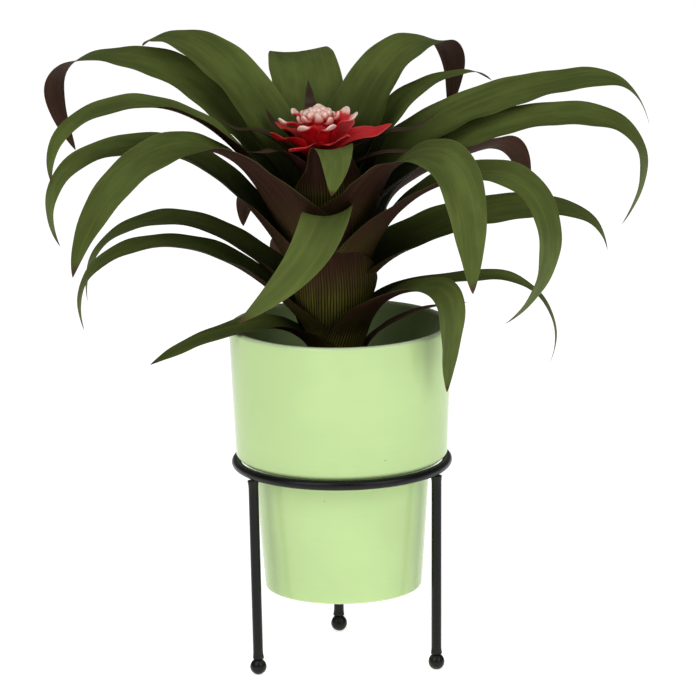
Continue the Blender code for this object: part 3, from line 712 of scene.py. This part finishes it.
LEAVES = [
    leaf("leaf_dry", 12, 3, 20, (72, 43), (86, 42), 20, 8, arch=0.3, fall=0.3),
    leaf("leaf_01", 200, 6, 22, over_rim(-18.5, 6), over_rim(54, -7), 22, 26, tilt=-10, arch=0.35,
         fall=0.35),
    leaf("leaf_02", 104, 9, 32, (88, 76), (138, 22), 85, 32),
    leaf("leaf_03", 322, 10, 30, over_rim(10, 28), over_rim(14, -38), 100, 30, tilt=6, arch=0.3, fall=0.47,
         spread=28),
    leaf("leaf_04", 6, 16, 32, (94, 60), over_rim(63, -40), 120, 16, tilt=15, arch=0.53),
    leaf("leaf_05", 180, 15, 28, (108, 100), (158, 48), 105, 30, tilt=-7, arch=0.6, rise=0.1, twist=-10),
    leaf("leaf_06", 281, 20, 52, (48, 119), (74, 65), 85, 36, sway=-74, spread=23),
    leaf("leaf_07", 172, 25, 32, (106, 112), (157, 62), 95, 30, tilt=-8, arch=0.47, rise=0.1, twist=-10),
    leaf("leaf_08", 78, 28, 36, (92, 100), (146, 46), 85, 30),
    leaf("leaf_09", 12, 32, 34, (122, 98), (179, 64), 85, 38, tilt=20, arch=0.55, fall=0.38),
    leaf("leaf_10", 122, 35, 38, (70, 116), (104, 88), 80, 32),
    leaf("leaf_11", 181, 41, 42, (120, 164), (168, 104), 115, 34, tilt=-14, arch=0.62, twist=-14),
    leaf("leaf_12", 335, 42, 44, (113, 137), (117, 42), 150, 36, tilt=10, arch=0.52, fall=0.58, spread=22),
    leaf("leaf_13", 40, 48, 46, (144, 127), (168, 92), 85, 32, tilt=-30, arch=0.45),
    leaf("leaf_14", 85, 53, 44, (98, 150), (150, 100), 85, 36),
    leaf("leaf_15", 216, 55, 44, (107, 172), (193, 108), 75, 46, tilt=-10, arch=0.4, fall=0.3),
    leaf("leaf_16", 314, 60, 46, (99, 156), (126, 72), 95, 42, tilt=10, arch=0.38, fall=0.38, spread=27),
    leaf("leaf_17", 10, 66, 44, (150, 155), (188, 81), 130, 34, tilt=20, arch=0.73, fall=0.56, twist=10,
         spread=28),
    leaf("leaf_18", 195, 69, 41, (125, 197), (173, 153), 100, 34, tilt=-5, arch=0.53, fall=0.38, twist=-14),
    leaf("leaf_19", 20, 77, 42, (180, 171), (222, 135), 80, 38, tilt=20),
    leaf("leaf_20", 153, 80, 41, (150, 209), (178, 148), 115, 42, tilt=-11, arch=0.84, twist=25, spread=18),
    leaf("leaf_21", 36, 86, 40, (108, 181), (137, 171), 40, 30),
    leaf("leaf_22", 284, 90, 40, (40, 159), (53, 133), 85, 34, sway=-8, taper=1.9),
    leaf("leaf_23", 96, 94, 36, (100, 195), (140, 160), 80, 50),
    leaf("leaf_24", 142, 99, 32, (112, 218), (138, 211), 40, 44, tilt=-5, rise=0.1, ease_in=0.35, taper=5),
    leaf("leaf_25", 51, 104, 34, (108, 199), (130, 150), 120, 42, tilt=6, arch=0.75),
]

BRACT = dict(core=STALK_RADIUS, ease_in=0.3, taper=1.6, wrap=64, clasp=1.35, crease=0.1 * MM)
MAROON_BRACTS = [
    leaf("maroon_bract_1", 340, 115, 22, (52, 150), (80, 154), -5, 17, **BRACT),
    leaf("maroon_bract_2", 215, 119, 20, (38, 158), (56, 161), -10, 20, **BRACT),
    leaf("maroon_bract_3", 176, 123, 22, (44, 168), (63, 178), -35, 16, **BRACT),
    leaf("maroon_bract_4", 0, 126, 20, (50, 160), (76, 170), -25, 20, **BRACT),
    leaf("maroon_bract_5", 142, 130, 17, (30, 165), (42, 176), -50, 15, **BRACT),
    leaf("maroon_bract_6", 97, 133, 16, (33, 174), (41, 189), -60, 16, **BRACT),
]

# Red bracts: azimuth, crest (r, z) and tip (r, z).
OUTER_RED = [(-2, (33, 160), (46, 165)), (49, (24, 164), (32, 168)), (101, (17, 169), (24, 174)),
             (152, (22, 164), (31, 169)), (201.5, (25, 162), (33, 168)), (247, (31, 159), (42, 162)),
             (296, (28, 161), (38, 166))]
INNER_RED = [(36.7, (18, 171), (24, 175)), (88, (16, 173), (21, 177)), (139.6, (16, 173), (21, 177)),
             (191, (19, 171), (25, 175)), (242.4, (18, 169), (23, 172)), (293.9, (17, 168), (22, 171)),
             (345.3, (19, 171), (26, 175))]
PETAL = dict(core=STALK_RADIUS, rise=0.3, ease_in=0.3, wrap=22, clasp=1.35, spread=35, tilt=12,
             crease=0.3 * MM)


def red_bracts():
    """The two whorls: an outer one of pointed bracts and an inner one of blunt cream-tipped ones."""
    outer = [leaf("red_bract_outer_%d" % (k + 1), azimuth, 142, 5, crest, tip, -15, 23,
                  arch=0.3, taper=3.0, flesh=1.0, **PETAL)
             for k, (azimuth, crest, tip) in enumerate(OUTER_RED)]
    inner = [leaf("red_bract_inner_%d" % (k + 1), azimuth, 151, 4, crest, tip, -40, 15,
                  taper=9.0, blunt=0.5, narrowing=0.42, flesh=2.6, channel=50, **PETAL)
             for k, (azimuth, crest, tip) in enumerate(INNER_RED)]
    return outer, inner


# ---------------------------------------------------------------- flower head

HEAD_FOOT, HEAD_TOP = 150.0 * MM, 180.0 * MM
BUD_LENGTH, BUD_RADIUS = 10.0 * MM, 2.75 * MM
COLLAR = 8                          # small petals round the buds
BUD_RINGS = ((0, 1, 0.0, 0.0), (4.3, 6, 8.0, 0.5), (8.0, 10, 20.0, 2.4))    # r mm, count, lean, drop mm


def bud(radius, azimuth, lean, drop, seed):
    """A bud: r(h) = R sin(pi h^1.6)^0.5 (1 + 0.09 cos 3a), with three soft folds meeting at the
    crown, leaned outward and set round the head. Returns its shape and (height, fold, seed)."""
    h = np.sin(np.linspace(0.1, pi / 2 - 0.06, 17))[:, None]
    a = turn(24)[None]
    r = BUD_RADIUS * np.sin(pi * h ** 1.6) ** 0.5 * (1 + 0.09 * np.cos(3 * a + seed))
    points, faces = skin(polar(r, a, (h - 1) * BUD_LENGTH), [0, 0, -BUD_LENGTH], [0, 0, 0])
    tilt = np.array(Matrix.Rotation(radians(lean), 3, "Y"))
    points = points @ tilt.T + [radius * MM, 0, HEAD_TOP - drop * MM]
    fold = np.broadcast_to((0.5 - 0.5 * np.cos(3 * a + seed)), r.shape)
    height = np.broadcast_to(h, r.shape)
    rows = np.stack([height.ravel(), fold.ravel(), np.full(r.size, seed)], 1)
    place = np.vstack([rows, [0, 0, seed], [1, 0, seed]])
    return facing_out(plant_place(points, azimuth), faces), place


def flower_head():
    """A dome of buds in rings round a hidden core, and a collar of small cream-tipped petals."""
    parts, places = [], []
    for radius, count, lean, drop in BUD_RINGS:
        for k in range(count):
            uneven = 0.5 * sin(5.1 * k + radius)
            shape, place = bud(radius + 0.3 * uneven, 360 / count * k + 7 * uneven + radius * 11, lean,
                               drop + 0.5 * uneven, k + radius)
            parts.append(shape)
            places.append(place)
    for k in range(COLLAR):
        uneven = 1.5 * sin(4.3 * k)
        growth = leaf("collar_%d" % k, 360 / COLLAR * k + 4 * uneven, 157, 3, (9.5, 171 + uneven),
                      (13.5 + 0.4 * uneven, 175.5 + uneven), -60, 7.6, core=STALK_RADIUS, rise=0.3,
                      ease_in=0.3, taper=9.0, blunt=0.5, narrowing=0.3, spread=30, flesh=2.6,
                      clasp=1.35, channel=50)
        points, faces, facts = leaf_skin(growth)
        share = np.clip(facts["leaf_place"][:, 1], 0, 1)
        parts.append(facing_out(points, faces))
        places.append(np.stack([0.12 + 0.74 * share, share * 0, share * 0 + k], 1))
    core = lathe([(0, HEAD_FOOT), (5 * MM, HEAD_FOOT), (7 * MM, HEAD_FOOT + 9 * MM),
                  (8.2 * MM, HEAD_TOP - 12 * MM), (5 * MM, HEAD_TOP - 6 * MM), (0, HEAD_TOP - 5 * MM)], 24)
    parts.append((plant_place(core[0], 0), core[1]))
    places.append(np.tile([0.1, 0.0, 0.0], (len(core[0]), 1)))
    return join(parts), {"bud_place": np.vstack(places)}


# ---------------------------------------------------------------- pots, soil and stand shapes

POT_WALL, POT_FLOOR, POT_STEP_HEIGHT = 4.8 * MM, 5.5 * MM, 75.6 * MM
POT_UPPER_FOOT_RADIUS, POT_LOWER_TOP_RADIUS, POT_BASE_RADIUS = 66.8 * MM, 55.3 * MM, 49.5 * MM
STEP_SLOPE, STEP_ROUND, BASE_ROUND, LIP_ROUND = 45.0, 3.0 * MM, 2.5 * MM, 2.1 * MM
RING_RADIUS = box_radius("stand_ring")
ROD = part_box("stand_ring")[1].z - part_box("stand_ring")[0].z
LEG_ROD = 6.3 * MM
POT_SIDES = 144


def pot_profile():
    """The cover pot's wall in (r, z): foot, lower wall, step, upper wall, lip and back down."""
    low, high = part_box("cover_pot")
    base, rim, rim_radius = low.z, high.z, box_radius("cover_pot")
    foot = (POT_LOWER_TOP_RADIUS, base + POT_STEP_HEIGHT)
    rise = POT_UPPER_FOOT_RADIUS - POT_LOWER_TOP_RADIUS
    step = (POT_UPPER_FOOT_RADIUS, foot[1] + rise * tan(radians(STEP_SLOPE)))
    slope = radians(STEP_SLOPE)
    neck_cone = (foot[0] - POT_WALL * sin(slope), foot[1] + POT_WALL * cos(slope))
    neck = foot[0] - POT_WALL
    neck_height = neck_cone[1] + (neck - neck_cone[0]) * tan(slope)
    top_inner = (step[0] - POT_WALL, step[1] + POT_WALL * tan(slope / 2))
    hollow = 1.2 * MM                # the recess inside the foot ring
    corners = [(0, base + hollow), (POT_BASE_RADIUS - 7 * MM, base + hollow),
               (POT_BASE_RADIUS - 5.5 * MM, base), (POT_BASE_RADIUS, base), foot, step, (rim_radius, rim),
               (rim_radius - POT_WALL, rim), top_inner, (neck, neck_height),
               (POT_BASE_RADIUS - POT_WALL, base + POT_FLOOR), (0, base + POT_FLOOR)]
    radii = [0.5 * MM, 0.5 * MM, BASE_ROUND, STEP_ROUND, STEP_ROUND, LIP_ROUND, LIP_ROUND, STEP_ROUND,
             STEP_ROUND, BASE_ROUND]
    return filled(rounded(corners, radii), 4 * MM)


def pot_facts(points):
    """(lip, lighter for its thin glaze and as a painted highlight; bare foot ring; 0) for the glaze."""
    low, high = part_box("cover_pot")
    r = np.hypot(points[:, 0] - STAND_AXIS[0], points[:, 1] - STAND_AXIS[1])
    lip = np.clip(1 - (high.z - points[:, 2]) / (2.2 * MM), 0, 1)
    foot = (points[:, 2] < low.z + 0.5 * MM) & (r > POT_BASE_RADIUS - 8 * MM)
    return {"pot_place": np.stack([lip, foot, lip * 0], 1)}


def soil_skin(lump):
    """The filled pot's content: a tapered side and bottom, and on top the height
    mound * (1 - (r / R)^2) + lump * noise, held level at the wall and closed at the middle at
    the soil's height."""
    low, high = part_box("soil")
    bottom, foot, top = low.z, 42.7 * MM, box_radius("soil")
    share, a = np.linspace(1, 0.02, 34)[:, None], turn(128)
    flat = polar(top * share, a, 0.0)
    rough = (lattice(flat, 7.0 * MM, 3) + 0.6 * lattice(flat, 3.1 * MM, 8)
             + 0.35 * lattice(flat, 1.5 * MM, 5))
    z = SOIL_HEIGHT + 1.0 * MM * (1 - share ** 2) + lump * (rough - 0.4) * 0.55 * ease((1 - share) / 0.08)
    z = np.minimum(z, high.z)
    surface = polar(top * share, a, z, STAND_AXIS)
    skirt = (foot * 0.5, bottom), (foot, bottom), (foot * 0.5 + top * 0.5, (bottom + SOIL_HEIGHT) / 2)
    base = [polar(r, a, z, STAND_AXIS) for r, z in skirt]
    rings = np.concatenate([np.stack(base), surface])
    return facing_out(*skin(rings, [*STAND_AXIS, bottom], [*STAND_AXIS, SOIL_HEIGHT]))


def rod_facts(points, welds, reach=5 * MM):
    """(nearness to a weld, 0, 0) for the wire's finish; welds are points."""
    nearest = np.min([np.linalg.norm(points - np.array(w), axis=1) for w in welds], axis=0)
    return {"weld_place": np.stack([np.exp(-(nearest / reach) ** 2), nearest * 0, nearest * 0], 1)}


def leg_ends(place):
    """Middle of the leg's foot and head, from the boxes of the leg and its ball."""
    low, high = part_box("stand_leg_" + place)
    foot = box_middle("stand_foot_" + place)
    outward = (foot[:2] - STAND_AXIS) / np.linalg.norm(foot[:2] - STAND_AXIS)
    head = STAND_AXIS + outward * (RING_RADIUS - ROD / 2)
    return np.array([*foot[:2], low.z]), np.array([*head, high.z])


def leg_skin(place, weld):
    """A rod from foot to head whose radius swells by weld * exp(-(d / 2.4 mm)^2) at distance d
    from either end, a little unevenly round it, as the weld bead does."""
    foot, head = leg_ends(place)
    span = head[2] - foot[2]
    t = np.concatenate([np.linspace(0, 0.07, 14), np.linspace(0.09, 0.91, 30),
                        np.linspace(0.93, 1, 14)])[:, None]
    a = turn(32)[None]
    near = np.minimum(t, 1 - t) * span
    bead = weld * np.exp(-(near / (2.4 * MM)) ** 2) * (0.7 + 0.3 * np.sin(3 * a + foot[0] * 900 + t * 9))
    rings = foot + (head - foot) * t[..., None] + polar(LEG_ROD / 2 + bead, a, 0.0)
    shape = facing_out(*skin(rings, foot, head))
    return shape, rod_facts(shape[0], (foot, head))


def ball_skin(place, weld):
    """A ball R sin(u), -R cos(u) with a small worn flat, a shallow forging wobble and a weld neck
    under the leg."""
    low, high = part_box("stand_foot_" + place)
    middle, radius = box_middle("stand_foot_" + place)[:2], (high.x - low.x) / 2
    u, a = np.linspace(0.0, pi, 30)[1:-1][:, None], turn(40)[None]
    wobble = 1 - 0.012 * (1 + np.sin(2 * a + middle[0] * 700) * np.sin(3 * u))
    neck = weld * 1.6 * np.exp(-((pi - u) / 0.55) ** 2)
    height = np.clip(low.z + radius * 0.99 - radius * np.cos(u) * wobble, low.z, high.z)
    rings = polar(radius * np.sin(u) * wobble + neck, a, height, middle)
    shape = facing_out(*skin(rings, [*middle, low.z], [*middle, high.z]))
    return shape, rod_facts(shape[0], [(*middle, high.z)], 3 * MM)


def ring_skin(legs, weld):
    """A torus, swollen a little into each leg's weld."""
    low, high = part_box("stand_ring")
    main, rod = RING_RADIUS - ROD / 2, ROD / 2
    a, b = turn(240)[:, None], turn(28)[None]
    heads = [leg_ends(place)[1] for place in legs]
    turns = [atan2(h[1] - STAND_AXIS[1], h[0] - STAND_AXIS[0]) for h in heads]
    gap = np.min([np.abs((a - t + pi) % (2 * pi) - pi) for t in turns], axis=0) * main
    swell = weld * 0.7 * np.exp(-(gap / (3.2 * MM)) ** 2) * np.clip(-np.sin(b), 0, 1)
    side = swell * np.sign(np.cos(b)) * (np.abs(np.cos(b)) > 0.2) * 0.5
    height = (low.z + high.z) / 2 + rod * np.sin(b)
    shape = facing_out(*skin(polar(main + rod * np.cos(b) + side, a, height, STAND_AXIS)))
    return shape, rod_facts(shape[0], heads)


# ---------------------------------------------------------------- operators

LEG_PLACES = ("front_left", "front_right", "back")


class BROMELIAD_OT_stand(bpy.types.Operator):
    """Makes the wire stand: ring, legs and ball feet"""
    bl_idname, bl_label = "bromeliad.stand", "Wire stand"

    def execute(self, context):
        stand = context.scene.bromeliad_stand
        finish = wire_finish(stand)
        shape, facts = ring_skin(LEG_PLACES, stand.weld)
        piece("ring", shape, finish, ["stand_ring"], facts)
        for place in LEG_PLACES:
            for kind, made in (("leg_", leg_skin), ("foot_", ball_skin)):
                shape, facts = made(place, stand.weld)
                piece(kind + place, shape, finish, ["stand_" + kind + place], facts)
        return {"FINISHED"}


class BROMELIAD_OT_pots(bpy.types.Operator):
    """Makes the glazed cover pot, the nursery pot inside it and the soil"""
    bl_idname, bl_label = "bromeliad.pots", "Pots and soil"

    def execute(self, context):
        pot = context.scene.bromeliad_pot
        shape = lathe(pot_profile(), POT_SIDES, STAND_AXIS)
        piece("glazed_pot", shape, glaze_finish(pot), ["cover_pot"],
              pot_facts(shape[0]))
        piece("plastic_pot", nursery_skin(), nursery_finish(), ["nursery_pot"], sharp=35)
        piece("potting_soil", soil_skin(pot.lump), soil_finish(pot), ["soil"])
        return {"FINISHED"}


def nursery_skin():
    """The thin pot: a tapered wall with a rolled lip and a drain hole, its outside drawn in by
    0.25 mm * (1 + cos 36a) / 2 to rib it."""
    low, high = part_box("nursery_pot")
    bottom, top, lip = low.z, high.z, box_radius("nursery_pot")
    wall, base, hole = 1.0 * MM, 44.0 * MM, 5.0 * MM
    corners = [(hole, bottom), (base, bottom), (lip - 1.5 * MM, top - 6 * MM), (lip, top - 6 * MM),
               (lip, top), (lip - 2.5 * MM, top), (base - wall, bottom + wall), (hole, bottom + wall)]
    radii = [0.4 * MM, 0.3 * MM, 0.4 * MM, 0.6 * MM, 0.6 * MM, 0.4 * MM]
    points, faces = lathe(filled(rounded(corners, radii, 4), 6 * MM), 216, STAND_AXIS)
    flat = points[:, :2] - STAND_AXIS
    r, a = np.hypot(*flat.T), np.arctan2(flat[:, 1], flat[:, 0])
    taper = base + (lip - 1.5 * MM - base) * (points[:, 2] - bottom) / (top - 6 * MM - bottom)
    side = (points[:, 2] > bottom + 3 * MM) & (points[:, 2] < top - 7 * MM)
    outer = side & (np.abs(r - taper) < 0.3 * MM)
    points[:, :2] -= (flat / r[:, None]) * (outer * 0.25 * MM * (1 + np.cos(36 * a)) / 2)[:, None]
    return points, faces


class BROMELIAD_OT_stem(bpy.types.Operator):
    """Makes the stem and the flower stalk, hidden inside the sheaths"""
    bl_idname, bl_label = "bromeliad.stem", "Stem and stalk"

    def execute(self, context):
        finish = stem_finish(context.scene.bromeliad_plant)
        rods = (("leaf_stem", STEM_RADIUS, -26 * MM, 112 * MM, "stem"),
                ("stalk", STALK_RADIUS, 112.3 * MM, 149.7 * MM, "flower_stalk"))
        for name, radius, foot, top, node in rods:
            z = np.linspace(foot, top, 60)
            scar = 1 - 0.035 * (0.5 + 0.5 * np.sin(z / (1.6 * MM)))
            root = np.clip((z - foot) / (14 * MM), 0, 1) * 0.3 + 0.7 if node == "stem" else 1.0
            rim = np.stack([radius * scar * root, z], 1)
            points, faces = lathe([(0, foot), *rim.tolist(), (0, top)], 40)
            piece(name, (plant_place(points, 0), faces), finish, [node])
        return {"FINISHED"}


class BROMELIAD_OT_leaves(bpy.types.Operator):
    """Makes the green strap leaves and the dried old one"""
    bl_idname, bl_label = "bromeliad.leaves", "Leaves"

    def execute(self, context):
        plant = context.scene.bromeliad_plant
        fresh, dried = leaf_finish(plant), dry_finish(plant)
        for growth in LEAVES:
            old = growth["name"] == "leaf_dry"
            growth = dict(growth, wave=plant.edge_wave, thickness=plant.leaf_thickness)
            points, faces, facts = leaf_skin(growth)
            piece(growth["name"].replace("leaf", "blade"), facing_out(points, faces),
                  dried if old else fresh, [growth["name"]], facts, 80)
        return {"FINISHED"}


class BROMELIAD_OT_flower(bpy.types.Operator):
    """Makes the flower: maroon bracts, two whorls of red bracts and the head of buds"""
    bl_idname, bl_label = "bromeliad.flower", "Flower"

    def execute(self, context):
        plant = context.scene.bromeliad_plant
        outer, inner = red_bracts()
        for whorl, finish, slot in ((MAROON_BRACTS, maroon_finish(plant), "maroon_bract"),
                                    (outer, petal_finish("pointed_red_bract", plant, 0.1), "red_bract"),
                                    (inner, petal_finish("cream_tipped_bract", plant, 1.0), "red_bract")):
            for growth in whorl:
                points, faces, facts = leaf_skin(growth)
                name = growth["name"].replace("maroon_bract", "dark_bract").replace("red_bract", "petal")
                piece(name, facing_out(points, faces), finish, [growth["name"]], facts, 80)
        shape, facts = flower_head()
        piece("buds", shape, bud_finish(plant), ["flower_head"], facts)
        return {"FINISHED"}


class BROMELIAD_OT_stage(bpy.types.Operator):
    """Makes the pale floor, the soft lights and the camera"""
    bl_idname, bl_label = "bromeliad.stage", "Stage"

    def execute(self, context):
        stage, scene = context.scene.bromeliad_stage, context.scene
        reach, cells = 9.0, 24
        grid = np.stack(np.meshgrid(np.linspace(-reach, reach, cells), np.linspace(-reach, reach, cells),
                                    [0.0], indexing="ij"), -1).reshape(-1, 3)
        index = np.arange(cells * cells).reshape(cells, cells)
        quads = np.stack([index[:-1, :-1], index[1:, :-1], index[1:, 1:], index[:-1, 1:]], -1)
        mesh = bpy.data.meshes.new("studio_floor")
        mesh.from_pydata((grid - [0, 0, 0.05 * MM]).tolist(), [], quads.reshape(-1, 4).tolist())
        mesh.materials.append(floor_finish(stage))
        added("studio_floor", mesh)
        target = Vector((*STAND_AXIS, 0.21))
        for name, place, size, share in (("key_softbox", (-1.7, -2.2, 2.1), 2.3, 1.05),
                                         ("fill_softbox", (2.0, -2.0, 1.7), 2.3, 0.85),
                                         ("top_softbox", (0.0, -0.5, 2.6), 2.4, 0.34)):
            light = bpy.data.lights.new(name, "AREA")
            light.shape, light.size, light.energy = "SQUARE", size, stage.light * share
            lamp = added(name, light)
            lamp.location = target + Vector(place)
            lamp.rotation_euler = (-Vector(place)).to_track_quat("-Z", "Y").to_euler()
        world = bpy.data.worlds.new("studio")
        world.use_nodes = True
        background = world.node_tree.nodes["Background"].inputs
        background["Color"].default_value = (0.16, 0.16, 0.16, 1)
        background["Strength"].default_value = 1.0
        scene.world = world
        scene.view_settings.view_transform = "Standard"
        data = bpy.data.cameras.new("camera")
        data.sensor_width, data.lens, data.clip_end = 36.0, 369.2, 60.0
        camera = added("camera", data)
        back = Vector((0, -cos(stage.elevation), sin(stage.elevation)))
        aim = Vector((STAND_AXIS[0] + 4.8 * MM, STAND_AXIS[1], 202.7 * MM))
        camera.location = aim + back * stage.distance
        camera.rotation_mode = "QUATERNION"
        facing = (-back).to_track_quat("-Z", "Y")
        camera.rotation_quaternion = facing @ Matrix.Rotation(-stage.roll, 3, "Z").to_quaternion()
        scene.camera = camera
        return {"FINISHED"}


OPERATORS = (BROMELIAD_OT_stand, BROMELIAD_OT_pots, BROMELIAD_OT_stem, BROMELIAD_OT_leaves,
             BROMELIAD_OT_flower, BROMELIAD_OT_stage)
SETTINGS = {"bromeliad_plant": PlantSettings, "bromeliad_pot": PotSettings,
            "bromeliad_stand": StandSettings, "bromeliad_stage": StageSettings}


class BROMELIAD_PT_build(bpy.types.Panel):
    """Lists the steps that build the plant, its pots and the stage"""
    bl_idname, bl_label = "BROMELIAD_PT_build", "Potted Bromeliad"
    bl_space_type, bl_region_type, bl_category = "VIEW_3D", "UI", "Bromeliad"

    def draw(self, context):
        for settings, kind in SETTINGS.items():
            group = getattr(context.scene, settings)
            for name in kind.__annotations__:
                self.layout.prop(group, name)
        for operator in OPERATORS:
            self.layout.operator(operator.bl_idname)


def register():
    for kind in (*SETTINGS.values(), *OPERATORS, BROMELIAD_PT_build):
        bpy.utils.register_class(kind)
    for name, kind in SETTINGS.items():
        setattr(bpy.types.Scene, name, PointerProperty(type=kind))


def unregister():
    for name in SETTINGS:
        delattr(bpy.types.Scene, name)
    for kind in reversed((*SETTINGS.values(), *OPERATORS, BROMELIAD_PT_build)):
        bpy.utils.unregister_class(kind)


def main():
    register()
    bpy.ops.bromeliad.stand()
    bpy.ops.bromeliad.pots()
    bpy.ops.bromeliad.stem()
    bpy.ops.bromeliad.leaves()
    bpy.ops.bromeliad.flower()
    bpy.ops.bromeliad.stage()
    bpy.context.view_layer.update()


if __name__ == "__main__":
    main()
